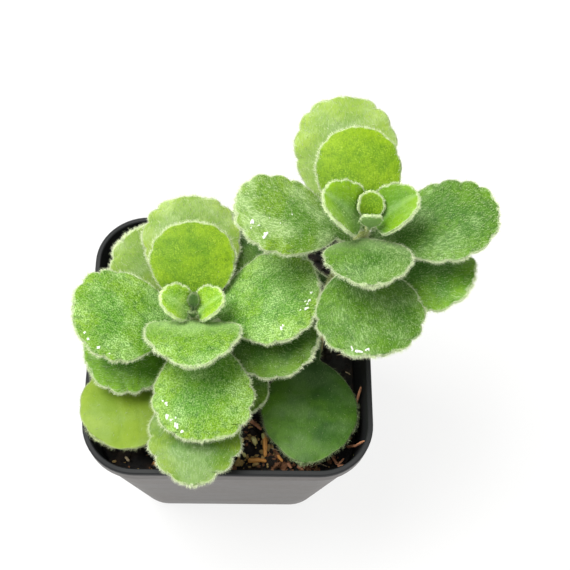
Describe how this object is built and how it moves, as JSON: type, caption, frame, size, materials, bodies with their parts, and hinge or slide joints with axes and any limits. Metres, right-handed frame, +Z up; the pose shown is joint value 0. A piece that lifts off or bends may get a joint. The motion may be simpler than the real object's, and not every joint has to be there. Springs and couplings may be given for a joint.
{
  "type": "potted plant",
  "caption": "Small succulent herb with fleshy, velvety, scalloped leaves in opposite pairs on two upright shoots, growing in a tapered square black nursery pot.",
  "frame": {"origin": "middle of the pot's underside, on the surface it stands on", "axes": "+Z up, -Y towards the front of the plant, +X towards the shoot that leans out over the pot's right side"},
  "size_m": [0.096, 0.0836, 0.1045],
  "materials": {
    "pot_plastic": "thin black moulded plastic, satin",
    "potting_soil": "loose dark peat with bark and grit",
    "stem_skin": "pale green, downy",
    "young_leaf": "yellow green, velvety with short pale hairs",
    "green_leaf": "mid green, velvety with short pale hairs",
    "dark_leaf": "deep green, velvety with short pale hairs",
    "pale_leaf": "pale green, velvety with long pale hairs"
  },
  "bodies": {
    "root": {"pot": "pot_plastic", "soil": "potting_soil", "left_stem": "stem_skin", "right_stem": "stem_skin", "left_shoot_leaf_0_back": "young_leaf", "left_shoot_leaf_0_front": "young_leaf", "left_shoot_leaf_1_left": "young_leaf", "left_shoot_leaf_1_right": "young_leaf", "left_shoot_leaf_2_back": "young_leaf", "left_shoot_leaf_2_front": "green_leaf", "left_shoot_leaf_3_left": "green_leaf", "left_shoot_leaf_3_right": "green_leaf", "left_shoot_leaf_4_back": "green_leaf", "left_shoot_leaf_4_front": "green_leaf", "left_shoot_leaf_5_left": "green_leaf", "left_shoot_leaf_5_right": "dark_leaf", "left_shoot_leaf_6_back": "pale_leaf", "left_shoot_leaf_6_front": "green_leaf", "left_shoot_leaf_7_left": "young_leaf", "left_shoot_leaf_7_right": "dark_leaf", "right_shoot_leaf_0_back": "young_leaf", "right_shoot_leaf_0_front": "young_leaf", "right_shoot_leaf_1_left": "green_leaf", "right_shoot_leaf_1_right": "young_leaf", "right_shoot_leaf_2_back": "young_leaf", "right_shoot_leaf_2_front": "green_leaf", "right_shoot_leaf_3_left": "green_leaf", "right_shoot_leaf_3_right": "dark_leaf", "right_shoot_leaf_4_back": "green_leaf", "right_shoot_leaf_4_front": "green_leaf", "right_shoot_leaf_5_left": "dark_leaf", "right_shoot_leaf_5_right": "dark_leaf", "right_shoot_leaf_6_front": "dark_leaf"}
  },
  "joints": []
}
